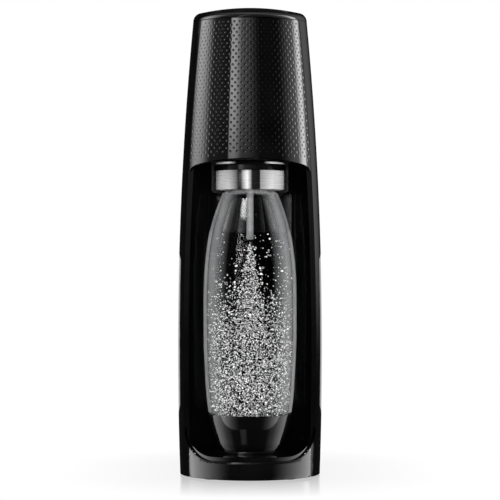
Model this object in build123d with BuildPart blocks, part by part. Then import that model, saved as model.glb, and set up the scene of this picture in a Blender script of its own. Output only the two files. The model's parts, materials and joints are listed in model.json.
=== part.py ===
from build123d import *
import os
from math import cos, radians, sin, sqrt, tan

os.makedirs("parts", exist_ok=True)

# Upright soda carbonator, in millimetres. +Z is up, the front faces -Y, and the origin is on the
# floor, in the middle of the casing's outline.

# ---- driving dimensions: the casing ----
HEIGHT = 425.0  # top of the domed cap
HALF_WIDTH = 65.4  # at the widest level
DEPTH = 185.0
WIDEST_Z = 115.0
SIDE_RADIUS = 3150.0  # the slow barrel curve of every upright wall
REAR_CORNER = 42.0
DOME_ACROSS = 212.0  # crown radius of the cap, side to side
DOME_ALONG = 260.0  # crown radius of the cap, front to back
WALL = 2.0
SEAM = 0.4  # gap between two casing pieces
FLOOR_GAP = 1.2  # under the base, as high as the feet

# ---- driving dimensions: seams and the bottle bay ----
FRONT_SEAM_Y = -56.0
REAR_SEAM_Y = 50.0
REAR_COVER_TOP = 372.0
CAP_SEAM_Z = 409.0
BAND_TOP = 7.4  # base band that the rear cover stands on
BAY_FLOOR = 21.0
BAY_SILL = 17.2  # top of the front fascia
BAY_HALF = 58.5  # half-width of the bay's opening near the floor
BAY_CORNER = 25.0
BAY_STEP_Z = 44.0  # above this the side walls end on the front seam
BAY_BACK = 18.4
BAY_TOP = 285.0
BAY_BACK_CORNER = 32.0
FASCIA_HALF = 54.0
COVER_LIP_FRONT = 284.0  # lower edge of the head cover, at the middle of its front
COVER_LIP_SLOPE = 12.4

# ---- driving dimensions: bottle and carrier ----
PIVOT_Y = 2.0
PIVOT_Z = 292.0
PIVOT_R = 3.0
RUN = 0.06  # running clearance, on the radius
COLLAR_R = 31.05
COLLAR_LOW = 257.8
COLLAR_HIGH = 275.2
SHROUD_R = 32.4
HOLDER_R = 34.8
NECK_R = 20.0
BOTTLE_WALL = 1.2
WATER_Z = 220.3
NOZZLE_R = 3.15
NOZZLE_TIP = 213.0

# ---- driving dimensions: gas side ----
CYL_Y = 53.6
CYL_R = 30.0
CYL_BOTTOM = 8.4
DECK_LOW = 347.0
DECK_HIGH = 350.0
BUTTON_INSET = 10.0
BUTTON_REAR_Y = 30.0
BUTTON_PIN = (36.0, 410.0)  # y, z
LEVER_PIN = (68.0, 402.5)
POST_Y = -30.0
LATCH_Z = 384.0


def save(builder, name):
    """Label a finished piece and write it."""
    builder.part.label = name
    export_step(builder.part, f"parts/{name}.step")


def half_width(z):
    """Half the casing's width at level z."""
    return HALF_WIDTH - (z - WIDEST_Z) ** 2 / (2 * SIDE_RADIUS)


AXIS_Y = half_width(BAY_SILL) - DEPTH / 2  # bottle axis, and centre of the round front


def outline(inset, z):
    """Closed casing outline at level z, moved in by inset, as a flat sketch at Z = 0."""
    taper = HALF_WIDTH - half_width(z) + inset
    r = HALF_WIDTH - taper
    rear = DEPTH / 2 - taper
    corner = REAR_CORNER - taper
    bulge = corner * (1 - cos(radians(45)))
    with BuildSketch(mode=Mode.PRIVATE) as flat:
        with BuildLine():
            ThreePointArc((-r, AXIS_Y), (0, AXIS_Y - r), (r, AXIS_Y))
            Line((r, AXIS_Y), (r, rear - corner))
            ThreePointArc((r, rear - corner), (r - bulge, rear - bulge), (r - corner, rear))
            Line((r - corner, rear), (corner - r, rear))
            ThreePointArc((corner - r, rear), (bulge - r, rear - bulge), (-r, rear - corner))
            Line((-r, rear - corner), (-r, AXIS_Y))
        make_face()
    return flat.sketch


def envelope(z_low, z_high, inset, steps=6):
    """Solid inside the casing's outer surface, moved in by inset."""
    with BuildPart() as solid:
        for i in range(steps):
            z = z_low + (z_high - z_low) * i / (steps - 1)
            with BuildSketch(Plane.XY.offset(z)):
                add(outline(inset, z))
        loft()
    return solid.part


def block(x, y, z):
    """Box between two x, two y and two z values."""
    size = (x[1] - x[0], y[1] - y[0], z[1] - z[0])
    centre = ((x[0] + x[1]) / 2, (y[0] + y[1]) / 2, (z[0] + z[1]) / 2)
    return Pos(*centre) * Box(*size, mode=Mode.PRIVATE)


def rod(r, z_low, z_high, x=0.0, y=AXIS_Y):
    """Upright round bar."""
    return Pos(x, y, (z_low + z_high) / 2) * Cylinder(r, z_high - z_low, mode=Mode.PRIVATE)


def cross_rod(r, x_low, x_high, y, z):
    """Round bar lying along X."""
    bar = Cylinder(r, x_high - x_low, rotation=(0, 90, 0), mode=Mode.PRIVATE)
    return Pos((x_low + x_high) / 2, y, z) * bar


def spring(radius, wire, length, turns):
    """Open coil spring that stands on Z = 0."""
    rise = length - wire
    path = Pos(0, 0, wire / 2) * Helix(pitch=rise / turns, height=rise, radius=radius)
    with BuildPart() as coil:
        with BuildSketch(Plane(origin=path @ 0, z_dir=path % 0)):
            Circle(wire / 2)
        sweep(path=path, is_frenet=True)
    return coil.part


def dome(drop):
    """Ring whose crown is the cap's surface, lowered by drop."""
    top = HEIGHT - drop
    reach = 75.0
    with BuildPart() as solid:
        with BuildSketch(Plane.XZ):
            with BuildLine():
                edge = top - (DOME_ACROSS - sqrt(DOME_ACROSS**2 - reach**2))
                ThreePointArc((-reach, edge), (0, top), (reach, edge))
                Line((reach, edge), (reach, 385))
                Line((reach, 385), (-reach, 385))
                Line((-reach, 385), (-reach, edge))
            make_face()
        revolve(axis=Axis((0, 0, HEIGHT - DOME_ALONG), (1, 0, 0)))
    return solid.part


def bay_prism(inset, y_low, y_high, z_high):
    """Front-to-back prism with the bay's outline: upright sides and rounded lower corners."""
    half = BAY_HALF - inset
    low = BAY_SILL + inset
    corner = BAY_CORNER - inset
    with BuildPart() as solid:
        with BuildSketch(Plane.XZ.offset(-y_high)):
            with BuildLine():
                Line((-half, z_high), (-half, low + corner))
                RadiusArc((-half, low + corner), (corner - half, low), -corner)
                Line((corner - half, low), (half - corner, low))
                RadiusArc((half - corner, low), (half, low + corner), -corner)
                Line((half, low + corner), (half, z_high))
                Line((half, z_high), (-half, z_high))
            make_face()
        extrude(amount=y_high - y_low)
    return solid.part


def turned(points, y=AXIS_Y):
    """Solid of revolution about the upright axis at y, from (radius, z) corners."""
    with BuildPart() as solid:
        with BuildSketch(Plane(origin=(0, y, 0), x_dir=(1, 0, 0), z_dir=(0, -1, 0))):
            with BuildLine():
                Polyline(*points, close=True)
            make_face()
        revolve(axis=Axis((0, y, 0), (0, 0, 1)))
    return solid.part


# ---- shared solids of the casing ----
skin = envelope(FLOOR_GAP, HEIGHT + 2, 0, 8)
skin_inside = envelope(FLOOR_GAP - 1, HEIGHT + 3, WALL, 8)
casing = skin - skin_inside
bay_plane = Plane(origin=(0, AXIS_Y, 0), x_dir=(1, 0, 0), z_dir=(0, -1, 0))
bay_axis = Axis((0, AXIS_Y, 0), (0, 0, 1))

# ---- base ----
POSTS = [(-30, -40), (30, -40), (-40, 10), (40, 10)]
FEET = [(-34, -66), (34, -66), (-38, 66), (38, 66)]
FOOT_R = 7.0
SCREW_R = 1.5

base_core = envelope(FLOOR_GAP, 4.2, WALL + 0.3, 3)
rear_band = (envelope(FLOOR_GAP, BAND_TOP, 0, 3) & block((-70, 70), (REAR_SEAM_Y + 0.4, 95), (0, 9))) - (
    envelope(4.2, 9, WALL, 3)
)

with BuildPart() as base_plate:
    add(base_core)
    add(rear_band)
    with Locations(*[(x, y, 4.2) for x, y in POSTS]):
        Cylinder(4.0, 12.4, align=(Align.CENTER, Align.CENTER, Align.MIN))
    with BuildSketch(Plane.XY.offset(4.2)):
        with Locations((0, CYL_Y)):
            Circle(CYL_R + 3.2)
            Circle(CYL_R + 0.8, mode=Mode.SUBTRACT)
    extrude(amount=9)
    with Locations(*[(x, y, FLOOR_GAP) for x, y in POSTS]):
        Cylinder(SCREW_R, 30, mode=Mode.SUBTRACT)
        Cylinder(3.4, 3.6, mode=Mode.SUBTRACT)
    with Locations(*[(x, y, FLOOR_GAP) for x, y in FEET]):
        Cylinder(FOOT_R + 0.1, 2.0, mode=Mode.SUBTRACT)
save(base_plate, "base_plate")

with BuildPart() as rubber_feet:
    with Locations(*[(x, y, 0) for x, y in FEET]):
        Cylinder(FOOT_R, FLOOR_GAP + 0.9, align=(Align.CENTER, Align.CENTER, Align.MIN))
    chamfer(rubber_feet.edges().group_by(Axis.Z)[0], 0.4)
save(rubber_feet, "rubber_feet")

with BuildPart() as base_screws:
    with Locations(*[(x, y, FLOOR_GAP + 0.3) for x, y in POSTS]):
        Cylinder(3.2, 1.4, align=(Align.CENTER, Align.CENTER, Align.MIN))
        Cylinder(SCREW_R - 0.05, 13, align=(Align.CENTER, Align.CENTER, Align.MIN))
    with Locations(*[(x, y, FLOOR_GAP + 0.3) for x, y in POSTS]):
        Box(3.6, 0.7, 1.2, mode=Mode.SUBTRACT)
        Box(0.7, 3.6, 1.2, mode=Mode.SUBTRACT)
save(base_screws, "base_screws")

opening = bay_prism(0, -100, 0, 300)

with BuildPart() as front_fascia:
    add(casing)
    add(block((-FASCIA_HALF, FASCIA_HALF), (-100, -40), (0, 34)), mode=Mode.INTERSECT)
    add(opening, mode=Mode.SUBTRACT)
save(front_fascia, "front_fascia")

# ---- bay liner: one moulded trough, open at the front ----
liner_top = BAY_TOP
liner_plan_half = 62.0


def bay_plan(inset, z_low, z_high):
    """Upright prism with the bay's outline from above: a round back, open towards the front."""
    back = BAY_BACK + WALL - inset
    with BuildPart() as solid:
        with BuildSketch(Plane.XY.offset(z_low)):
            with Locations((0, back - 60)):
                Rectangle(2 * (liner_plan_half - inset), 120)
            fillet(vertices().group_by(Axis.Y)[-1], BAY_BACK_CORNER + WALL - inset)
        extrude(amount=z_high - z_low)
    return solid.part


liner_outer = (
    envelope(BAY_SILL, liner_top, WALL + 0.2) & bay_prism(0.3, -100, 40, 300) & bay_plan(0, 10, 300)
)
floor_lift = BAY_FLOOR - BAY_SILL - WALL
bay_void = Pos(0, 0, floor_lift) * bay_prism(WALL, -100, 40, 300)
liner_inner = (
    envelope(BAY_SILL, liner_top + 1, 2 * WALL + 0.2) & bay_void & bay_plan(WALL, 10, 300)
)

with BuildPart() as bay_liner:
    add(liner_outer)
    add(liner_inner, mode=Mode.SUBTRACT)
    add(bay_void & block((-70, 70), (-100, FRONT_SEAM_Y + 0.6), (10, 300)), mode=Mode.SUBTRACT)
    add(block((-70, 70), (-100, FRONT_SEAM_Y + 0.6), (BAY_STEP_Z, 300)), mode=Mode.SUBTRACT)
save(bay_liner, "bay_liner")

REST_R = 33.5
with BuildPart() as bottle_rest:
    with BuildSketch(Plane.XY.offset(BAY_FLOOR + 0.1)):
        with Locations((0, AXIS_Y)):
            Circle(REST_R)
    extrude(amount=0.9)
    with BuildSketch(Plane.XY.offset(BAY_FLOOR + 0.1)):
        with Locations((0, AXIS_Y)):
            Circle(REST_R)
            Circle(REST_R - 2.5, mode=Mode.SUBTRACT)
    extrude(amount=2.2)
    fillet(bottle_rest.edges().group_by(Axis.Z)[-1], 0.8)
save(bottle_rest, "bottle_rest")

# ---- side panels: full height, from the front seam to the rear seam ----
side_cut = opening & block((-70, 70), (-100, 0), (0, BAY_STEP_Z + 1))
for sign, name in ((-1, "left_side_panel"), (1, "right_side_panel")):
    edge = FASCIA_HALF + SEAM
    half_space = block(sorted((sign * 20, sign * 80)), (-100, REAR_SEAM_Y), (0, CAP_SEAM_Z))
    with BuildPart() as side_panel:
        add(casing)
        add(half_space, mode=Mode.INTERSECT)
        add(block((-80, 80), (-100, FRONT_SEAM_Y), (BAY_STEP_Z, 430)), mode=Mode.SUBTRACT)
        add(side_cut, mode=Mode.SUBTRACT)
        add(block((-edge, edge), (-100, -40), (0, 40)), mode=Mode.SUBTRACT)
    save(side_panel, name)

# ---- rear ----
COVER_FOOT = BAND_TOP + 0.8
RIB_LEVELS = (60, 105, 150)
HINGE_Z = COVER_FOOT + WALL / 2  # the cover rolls on its rounded lower edge
HINGE_R = WALL / 2
HINGE_HALF = 20.0

hinge_y = DEPTH / 2 - (HALF_WIDTH - half_width(HINGE_Z)) - HINGE_R
with BuildPart() as rear_cover:
    add(casing)
    add(block((-80, 80), (REAR_SEAM_Y + SEAM, 100), (COVER_FOOT, REAR_COVER_TOP)), mode=Mode.INTERSECT)
    for z in RIB_LEVELS:
        rear_y = DEPTH / 2 - (HALF_WIDTH - half_width(z)) - WALL
        with Locations((0, rear_y - 1.0, z)):
            Box(44, 2.4, 2.0)
    add(block((-HINGE_HALF, HINGE_HALF), (80, 100), (0, HINGE_Z)), mode=Mode.SUBTRACT)
    add(cross_rod(HINGE_R, -HINGE_HALF, HINGE_HALF, hinge_y, HINGE_Z))
save(rear_cover, "rear_cover")

LATCH_HALF = 13.0
LATCH_HIGH = 12.0
latch_face_y = DEPTH / 2 - (HALF_WIDTH - half_width(LATCH_Z))

with BuildPart() as rear_upper_panel:
    add(casing)
    add(
        block((-80, 80), (REAR_SEAM_Y + SEAM, 100), (REAR_COVER_TOP + SEAM, CAP_SEAM_Z)),
        mode=Mode.INTERSECT,
    )
    with BuildSketch(Plane.XZ.offset(-100)):
        with Locations((0, LATCH_Z)):
            SlotOverall(2 * LATCH_HALF + 0.8, LATCH_HIGH + 0.8)
    extrude(amount=40, mode=Mode.SUBTRACT)
save(rear_upper_panel, "rear_upper_panel")

with BuildPart() as latch_button:
    with BuildSketch(Plane.XZ.offset(-(latch_face_y + 0.6))):
        with Locations((0, LATCH_Z)):
            SlotOverall(2 * LATCH_HALF, LATCH_HIGH)
    extrude(amount=4.6)
    fillet(latch_button.edges().group_by(Axis.Y)[-1], 1.0)
    with BuildSketch(Plane.XZ.offset(-(latch_face_y - 4.0))):
        with Locations((0, LATCH_Z)):
            SlotOverall(2 * LATCH_HALF + 4, LATCH_HIGH + 4)
    extrude(amount=1.6)
save(latch_button, "latch_button")

latch_coil = spring(3.0, 0.6, 4.2, 3)
with BuildPart() as latch_spring:
    add(Pos(0, latch_face_y - 5.75, LATCH_Z) * (Rot(90, 0, 0) * latch_coil))
save(latch_spring, "latch_spring")

# ---- head cover and cap ----
lip_tan = tan(radians(COVER_LIP_SLOPE))
front_y = AXIS_Y - half_width(COVER_LIP_FRONT)


def lip_z(y):
    """Height of the head cover's sloping lower edge."""
    return COVER_LIP_FRONT - (y - front_y) * lip_tan


with BuildPart() as cover_cut:
    with BuildSketch(Plane.YZ.offset(-80)):
        with BuildLine():
            Line((-110, lip_z(-110)), (-66, lip_z(-66)))
            TangentArc((-66, lip_z(-66)), (FRONT_SEAM_Y + 1, 270.5), tangent=(1, -lip_tan))
            Line((FRONT_SEAM_Y + 1, 270.5), (FRONT_SEAM_Y + 1, 200))
            Line((FRONT_SEAM_Y + 1, 200), (-110, 200))
            Line((-110, 200), (-110, lip_z(-110)))
        make_face()
    extrude(amount=160)

with BuildPart() as head_front_cover:
    add(casing)
    add(block((-80, 80), (-100, FRONT_SEAM_Y - SEAM), (260, CAP_SEAM_Z)), mode=Mode.INTERSECT)
    add(cover_cut.part, mode=Mode.SUBTRACT)
save(head_front_cover, "head_front_cover")

cap_outer = envelope(CAP_SEAM_Z + SEAM, HEIGHT + 2, 0, 4) & dome(0)
cap_core = envelope(CAP_SEAM_Z - 9, HEIGHT + 2, 2.5, 4) & dome(2.5)
snap_rim = envelope(CAP_SEAM_Z - 7, CAP_SEAM_Z + 3, WALL + 0.3, 3) - envelope(
    CAP_SEAM_Z - 8, CAP_SEAM_Z + 4, WALL + 2.0, 3
)


def button_plan(inset, z_low, z_high):
    """Upright prism with the button's outline: round front, straight rear edge."""
    with BuildPart() as solid:
        with BuildSketch(Plane.XY.offset(z_low)):
            add(outline(BUTTON_INSET + inset, 415))
            with Locations((0, BUTTON_REAR_Y - inset - 75)):
                Rectangle(150, 150, mode=Mode.INTERSECT)
            fillet(vertices().group_by(Axis.Y)[-1], 14)
        extrude(amount=z_high - z_low)
    return solid.part


with BuildPart() as top_cap:
    add(cap_outer)
    fillet(top_cap.edges().group_by(Axis.Z)[-1], 8.0)
    add(cap_core, mode=Mode.SUBTRACT)
    add(snap_rim)
    add(button_plan(0, 380, 430), mode=Mode.SUBTRACT)
save(top_cap, "top_cap")

BUTTON_SKIRT = 405.5
button_shell = (button_plan(0.5, BUTTON_SKIRT, 430) & dome(0)) - (
    button_plan(2.7, BUTTON_SKIRT - 1, 430) & dome(2.6)
)
pin_y, pin_z = BUTTON_PIN
EAR_X = 18.0

with BuildPart() as carbonation_button:
    add(button_shell)
    add(rod(4.0, 405.6, 421.0, 0, POST_Y))
    for side in (-1, 1):
        x_low = side * EAR_X - 2
        add(block((x_low, x_low + 4), (BUTTON_REAR_Y - 6, pin_y), (pin_z - 3.6, pin_z + 3.6)))
        add(cross_rod(3.6, x_low, x_low + 4, pin_y, pin_z))
    add(cross_rod(2.0 + RUN, -30, 30, pin_y, pin_z), mode=Mode.SUBTRACT)
save(carbonation_button, "carbonation_button")

with BuildPart() as button_hinge_pin:
    add(cross_rod(2.0, -27, 27, pin_y, pin_z))
    chamfer(button_hinge_pin.edges(), 0.3)
save(button_hinge_pin, "button_hinge_pin")

# ---- head frame: deck, side plates and lugs in one moulding ----
PLATE_IN = 44.0  # inner face of each side plate
PLATE_OUT = 47.0
LUG_X = 24.0
LEVER_LUG_X = 22.8
lever_y, lever_z = LEVER_PIN
SPRING_Y = -52.0
SPRING_POST_TOP = 386.0
TUBE_R = 2.75
TUBE_X = -51.5

deck = envelope(DECK_LOW, DECK_HIGH, 2 * WALL + 0.6, 2)

with BuildPart() as head_frame:
    add(deck)
    for side in (-1, 1):
        faces = sorted((side * PLATE_IN, side * PLATE_OUT))
        add(block(faces, (-30, 24), (BAY_TOP + 3.6, DECK_LOW + 1)))
        lug = (side * LUG_X - 2, side * LUG_X + 2)
        add(block(lug, (pin_y - 4, pin_y + 4), (DECK_HIGH - 1, pin_z)))
        add(cross_rod(4.0, lug[0], lug[1], pin_y, pin_z))
        lever_lug = (side * LEVER_LUG_X - 1.5, side * LEVER_LUG_X + 1.5)
        add(block(lever_lug, (lever_y - 3.2, lever_y + 3.2), (DECK_HIGH - 1, lever_z)))
        add(cross_rod(3.2, lever_lug[0], lever_lug[1], lever_y, lever_z))
    add(rod(4.0, DECK_HIGH - 1, SPRING_POST_TOP, 0, SPRING_Y))
    add(rod(3.0, SPRING_POST_TOP - 1, SPRING_POST_TOP + 4, 0, SPRING_Y))
    add(cross_rod(2.0, -40, 40, pin_y, pin_z), mode=Mode.SUBTRACT)
    add(cross_rod(1.5, -30, 30, lever_y, lever_z), mode=Mode.SUBTRACT)
    add(cross_rod(PIVOT_R, -60, 60, PIVOT_Y, PIVOT_Z), mode=Mode.SUBTRACT)
    add(rod(13.5, DECK_LOW - 1, DECK_HIGH + 1, 0, CYL_Y), mode=Mode.SUBTRACT)
    add(rod(8.0, DECK_LOW - 1, DECK_HIGH + 1, -43.5, 42.0), mode=Mode.SUBTRACT)
save(head_frame, "head_frame")

with BuildPart() as lever_pin:
    add(cross_rod(1.5, -24.6, 24.6, lever_y, lever_z))
    chamfer(lever_pin.edges(), 0.25)
save(lever_pin, "lever_pin")

LEVER_LOW = 400.7
LEVER_HIGH = 404.6

with BuildPart() as actuator_lever:
    add(block((-5, 5), (POST_Y - 7, lever_y), (LEVER_LOW, LEVER_HIGH)))
    add(cross_rod(4.0, -20.5, 20.5, lever_y, lever_z))
    fillet(actuator_lever.edges().filter_by(Axis.Z).group_by(Axis.Y)[0], 4.5)
    add(cross_rod(1.5 + RUN, -30, 30, lever_y, lever_z), mode=Mode.SUBTRACT)
save(actuator_lever, "actuator_lever")

button_coil = spring(5.2, 1.1, 28.0, 6)
with BuildPart() as button_spring:
    add(Pos(0, SPRING_Y, SPRING_POST_TOP + 0.1) * button_coil)
save(button_spring, "button_spring")

# ---- ceiling of the bay, with the opening that the carrier tilts through ----
CEILING_HOLE_R = 44.5
CEILING_HOLE_REAR = 15.0
with BuildPart() as bay_ceiling:
    add(envelope(BAY_TOP + 0.2, BAY_TOP + 2.4, WALL + 0.3, 2))
    add(block((-70, 70), (BAY_BACK + WALL, 100), (200, 300)), mode=Mode.SUBTRACT)
    with BuildSketch(Plane.XY.offset(BAY_TOP)):
        with Locations((0, AXIS_Y)):
            Circle(CEILING_HOLE_R)
        with Locations((0, (AXIS_Y + CEILING_HOLE_REAR) / 2)):
            Rectangle(2 * CEILING_HOLE_R - 1.5, CEILING_HOLE_REAR - AXIS_Y)
    extrude(amount=6, mode=Mode.SUBTRACT)
save(bay_ceiling, "bay_ceiling")

# ---- gas side: valve block, plunger, relief valve ----
BLOCK_R = 17.0
BLOCK_LOW = DECK_HIGH + 0.2
BLOCK_TOP = 388.0
THREAD_R = 10.7
SOCKET_TOP = 369.5
PLUNGER_R = 2.95
RELIEF_Z = 379.0
OUTLET_Z = 363.0

with BuildPart() as valve_block:
    add(rod(22.0, BLOCK_LOW, BLOCK_LOW + 4, 0, CYL_Y))
    add(rod(BLOCK_R, BLOCK_LOW + 3, BLOCK_TOP, 0, CYL_Y))
    fillet(valve_block.edges().group_by(Axis.Z)[-1], 1.5)
    add(cross_rod(4.5, -BLOCK_R - 5, -8, CYL_Y, OUTLET_Z))
    add(cross_rod(7.0, BLOCK_R - 4, BLOCK_R + 6, CYL_Y, RELIEF_Z))
    add(rod(THREAD_R + 0.06, BLOCK_LOW - 1, SOCKET_TOP, 0, CYL_Y), mode=Mode.SUBTRACT)
    add(rod(PLUNGER_R + RUN, SOCKET_TOP - 1, BLOCK_TOP + 1, 0, CYL_Y), mode=Mode.SUBTRACT)
    add(cross_rod(1.5, -BLOCK_R - 6, -8, CYL_Y, OUTLET_Z), mode=Mode.SUBTRACT)
    add(cross_rod(5.0, 8, BLOCK_R + 7, CYL_Y, RELIEF_Z), mode=Mode.SUBTRACT)
    for angle in (45, 135, 225, 315):
        x = 19.4 * cos(radians(angle))
        y = CYL_Y + 19.4 * sin(radians(angle))
        add(rod(1.4, BLOCK_LOW - 1, BLOCK_LOW + 5, x, y), mode=Mode.SUBTRACT)
save(valve_block, "valve_block")

with BuildPart() as valve_block_screws:
    for angle in (45, 135, 225, 315):
        x = 19.4 * cos(radians(angle))
        y = CYL_Y + 19.4 * sin(radians(angle))
        add(rod(1.35, DECK_HIGH + 0.3, BLOCK_LOW + 4.2, x, y))
        add(rod(2.2, BLOCK_LOW + 4.1, BLOCK_LOW + 5.7, x, y))
save(valve_block_screws, "valve_block_screws")

PLUNGER_TIP = 374.9
HEAD_LOW = 397.8
HEAD_TOP = 400.2

with BuildPart() as valve_plunger:
    add(rod(PLUNGER_R, PLUNGER_TIP, HEAD_LOW + 0.5, 0, CYL_Y))
    add(rod(6.0, HEAD_LOW, HEAD_TOP, 0, CYL_Y))
    fillet(valve_plunger.edges().group_by(Axis.Z)[-1], 0.8)
save(valve_plunger, "valve_plunger")

plunger_coil = spring(4.6, 0.9, HEAD_LOW - BLOCK_TOP - 0.3, 4)
with BuildPart() as plunger_spring:
    add(Pos(0, CYL_Y, BLOCK_TOP + 0.15) * plunger_coil)
save(plunger_spring, "plunger_spring")

poppet_x = 9.0
with BuildPart() as relief_poppet:
    add(cross_rod(4.9, poppet_x, poppet_x + 4, CYL_Y, RELIEF_Z))
    add(cross_rod(2.0, poppet_x + 3.5, poppet_x + 7, CYL_Y, RELIEF_Z))
save(relief_poppet, "relief_poppet")

relief_end = BLOCK_R + 6
relief_coil = spring(3.6, 0.8, relief_end - poppet_x - 4.4, 4)
with BuildPart() as relief_spring:
    add(Pos(poppet_x + 4.2, CYL_Y, RELIEF_Z) * (Rot(0, 90, 0) * relief_coil))
save(relief_spring, "relief_spring")

with BuildPart() as relief_cap:
    add(cross_rod(8.0, relief_end + 0.05, relief_end + 3, CYL_Y, RELIEF_Z))
    chamfer(relief_cap.edges().group_by(Axis.X)[-1], 0.6)
    add(cross_rod(1.2, relief_end - 1, relief_end + 4, CYL_Y, RELIEF_Z), mode=Mode.SUBTRACT)
save(relief_cap, "relief_cap")

# ---- CO2 cylinder ----
CYL_SHOULDER = 284.0
CYL_NECK = 334.0
VALVE_TOP = 368.5

NECK_HALF = 12.5
cyl_plane = Plane(origin=(0, CYL_Y, 0), x_dir=(1, 0, 0), z_dir=(0, -1, 0))


def cylinder_solid(inset):
    """Pressure cylinder: flat foot ring, straight wall and round shoulder, moved in by inset."""
    low = CYL_BOTTOM + inset
    r = CYL_R - inset
    neck = NECK_HALF - inset
    with BuildPart() as solid:
        with BuildSketch(cyl_plane):
            with BuildLine():
                Line((0, low + 3), (18, low))
                Line((18, low), (24, low))
                RadiusArc((24, low), (r, low + r - 24), 24 - r)
                Line((r, low + r - 24), (r, CYL_SHOULDER))
                TangentArc((r, CYL_SHOULDER), (neck, CYL_NECK - 8 - inset), tangent=(0, 1))
                Line((neck, CYL_NECK - 8 - inset), (neck, CYL_NECK))
                Line((neck, CYL_NECK), (0, CYL_NECK))
                Line((0, CYL_NECK), (0, low + 3))
            make_face()
        revolve(axis=Axis((0, CYL_Y, 0), (0, 0, 1)))
    return solid.part


with BuildPart() as co2_cylinder:
    add(cylinder_solid(0))
    add(cylinder_solid(3.0), mode=Mode.SUBTRACT)
save(co2_cylinder, "co2_cylinder")

with BuildPart() as cylinder_valve:
    with BuildSketch(Plane.XY.offset(CYL_NECK + 0.05)):
        with Locations((0, CYL_Y)):
            RegularPolygon(12.5, 6)
    extrude(amount=9)
    add(rod(NECK_HALF - 3.1, CYL_NECK - 14, CYL_NECK + 1, 0, CYL_Y))
    add(rod(THREAD_R - 0.9, CYL_NECK + 8, VALVE_TOP, 0, CYL_Y))
    for i in range(7):
        z = CYL_NECK + 18 + 2.2 * i
        add(rod(THREAD_R, z, z + 1.1, 0, CYL_Y))
    add(rod(3.0, VALVE_TOP - 4, VALVE_TOP + 1, 0, CYL_Y), mode=Mode.SUBTRACT)
save(cylinder_valve, "cylinder_valve")

with BuildPart() as cylinder_valve_pin:
    add(rod(1.4, VALVE_TOP - 3.9, 373.2, 0, CYL_Y))
    chamfer(cylinder_valve_pin.edges().group_by(Axis.Z)[-1], 0.3)
save(cylinder_valve_pin, "cylinder_valve_pin")

with BuildPart() as cylinder_gasket:
    add(rod(8.5, VALVE_TOP + 0.05, SOCKET_TOP - 0.3, 0, CYL_Y))
    add(rod(3.4, VALVE_TOP - 1, SOCKET_TOP + 1, 0, CYL_Y), mode=Mode.SUBTRACT)
save(cylinder_gasket, "cylinder_gasket")

with BuildPart() as cylinder_pad:
    add(rod(24.0, 4.25, CYL_BOTTOM - 0.35, 0, CYL_Y))
    add(rod(12.0, 4.0, CYL_BOTTOM + 1, 0, CYL_Y), mode=Mode.SUBTRACT)
save(cylinder_pad, "cylinder_pad")

with BuildPart() as cylinder_cradle:
    with BuildSketch(Plane.XY.offset(176)):
        with Locations((0, CYL_Y)):
            Circle(CYL_R + 2.7)
            Circle(CYL_R + 0.4, mode=Mode.SUBTRACT)
        with Locations((0, CYL_Y + 40)):
            Rectangle(90, 72, mode=Mode.SUBTRACT)
    extrude(amount=18)
    fillet(cylinder_cradle.edges().filter_by(Axis.Z), 0.8)
save(cylinder_cradle, "cylinder_cradle")

# ---- gas tube: valve block, down past the deck, to the hollow left pivot ----
tube_route = [
    (-BLOCK_R - 5.1, CYL_Y, OUTLET_Z),
    (-35.0, CYL_Y, OUTLET_Z),
    (TUBE_X, 32.0, 334.0),
    (TUBE_X, PIVOT_Y, 318.0),
    (TUBE_X, PIVOT_Y, PIVOT_Z + 5.2),
]
tube_bends = [9.0, 20.0, 14.0]
tube_path = FilletPolyline(*tube_route, radius=tube_bends)
with BuildPart() as gas_tube:
    with BuildSketch(Plane(origin=tube_route[0], z_dir=(-1, 0, 0))):
        Circle(TUBE_R)
        Circle(1.5, mode=Mode.SUBTRACT)
    sweep(path=tube_path)
save(gas_tube, "gas_tube")

with BuildPart() as pivot_elbow:
    add(cross_rod(4.0, TUBE_X - 3.6, -PLATE_OUT - 0.1, PIVOT_Y, PIVOT_Z))
    add(rod(1.45, PIVOT_Z, PIVOT_Z + 9.5, TUBE_X, PIVOT_Y))
    add(rod(2.7, PIVOT_Z, PIVOT_Z + 5.1, TUBE_X, PIVOT_Y))
save(pivot_elbow, "pivot_elbow")

with BuildPart() as holder_pivot_pins:
    for side in (-1, 1):
        ends = sorted((side * 36.5, side * PLATE_OUT))
        add(cross_rod(PIVOT_R, ends[0], ends[1], PIVOT_Y, PIVOT_Z))
    add(cross_rod(1.0, -60, 60, PIVOT_Y, PIVOT_Z), mode=Mode.SUBTRACT)
save(holder_pivot_pins, "holder_pivot_pins")

# ---- tilting carrier ----
YOKE_LOW = 287.4
YOKE_HIGH = 290.4
NOZZLE_BLOCK_R = 16.0

holder_wall = turned(
    [(31.6, 257.4), (31.6, 273.4), (32.8, 274.4), (32.8, YOKE_LOW - 0.1),
     (HOLDER_R, YOKE_LOW - 0.1), (HOLDER_R, 257.6), (33.0, 255.6), (27.5, 255.6), (27.5, 257.4)]
)
with BuildPart() as bottle_holder:
    add(holder_wall)
    add(block((-50, 50), (AXIS_Y - 50, AXIS_Y - 1.5), (250, 300)), mode=Mode.SUBTRACT)
save(bottle_holder, "bottle_holder")

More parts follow.
